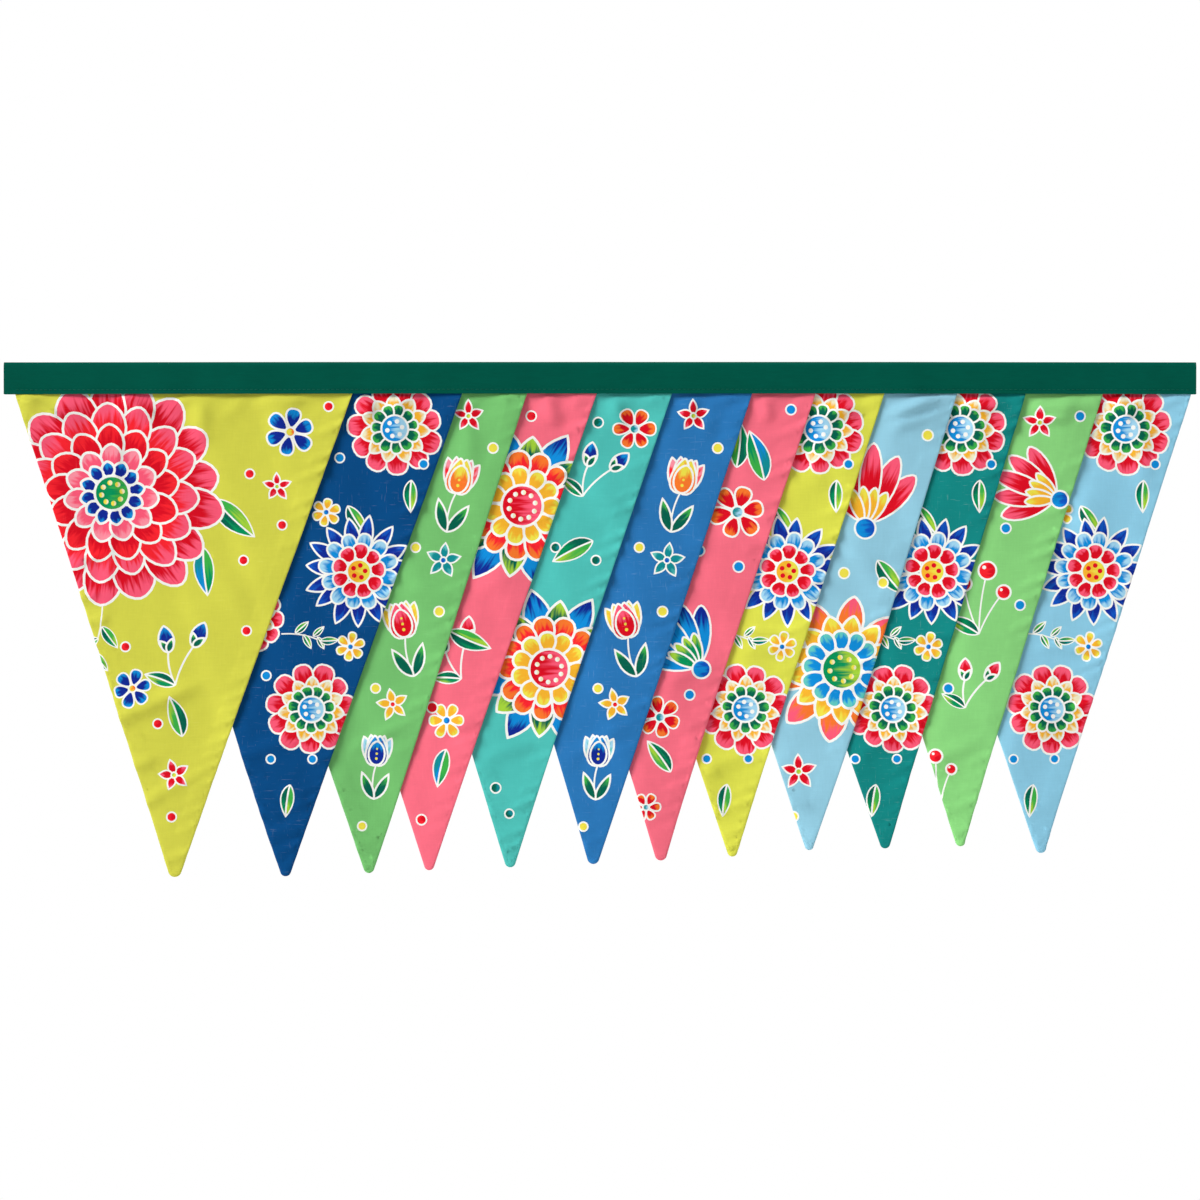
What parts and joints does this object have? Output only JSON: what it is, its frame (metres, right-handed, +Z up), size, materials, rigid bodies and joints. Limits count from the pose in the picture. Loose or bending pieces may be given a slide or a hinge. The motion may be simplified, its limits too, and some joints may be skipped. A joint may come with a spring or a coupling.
{
  "type": "fabric bunting",
  "caption": "Fabric bunting: pointed printed-cotton pennants, overlapping side by side, sewn into a folded plain binding tape along the top edge.",
  "frame": {"origin": "middle of the tape's top edge, the fold from which the bunting hangs", "axes": "+X along the tape, to the right as the front is seen; +Y out of the flat back of the tape, so the front faces -Y; +Z up"},
  "size_m": [0.746, 0.0138, 0.3212],
  "materials": {
    "tape_cotton": "matte",
    "printed_cotton_01": "matte",
    "printed_cotton_02": "matte",
    "printed_cotton_03": "matte",
    "printed_cotton_04": "matte",
    "printed_cotton_05": "matte",
    "printed_cotton_06": "matte",
    "printed_cotton_07": "matte",
    "printed_cotton_08": "matte",
    "printed_cotton_09": "matte",
    "printed_cotton_10": "matte",
    "printed_cotton_11": "matte",
    "printed_cotton_12": "matte"
  },
  "bodies": {
    "root": {"binding_tape": "tape_cotton", "pennant_01": "printed_cotton_01", "pennant_02": "printed_cotton_02", "pennant_03": "printed_cotton_03", "pennant_04": "printed_cotton_04", "pennant_05": "printed_cotton_05", "pennant_06": "printed_cotton_06", "pennant_07": "printed_cotton_07", "pennant_08": "printed_cotton_08", "pennant_09": "printed_cotton_09", "pennant_10": "printed_cotton_10", "pennant_11": "printed_cotton_11", "pennant_12": "printed_cotton_12"}
  },
  "joints": []
}
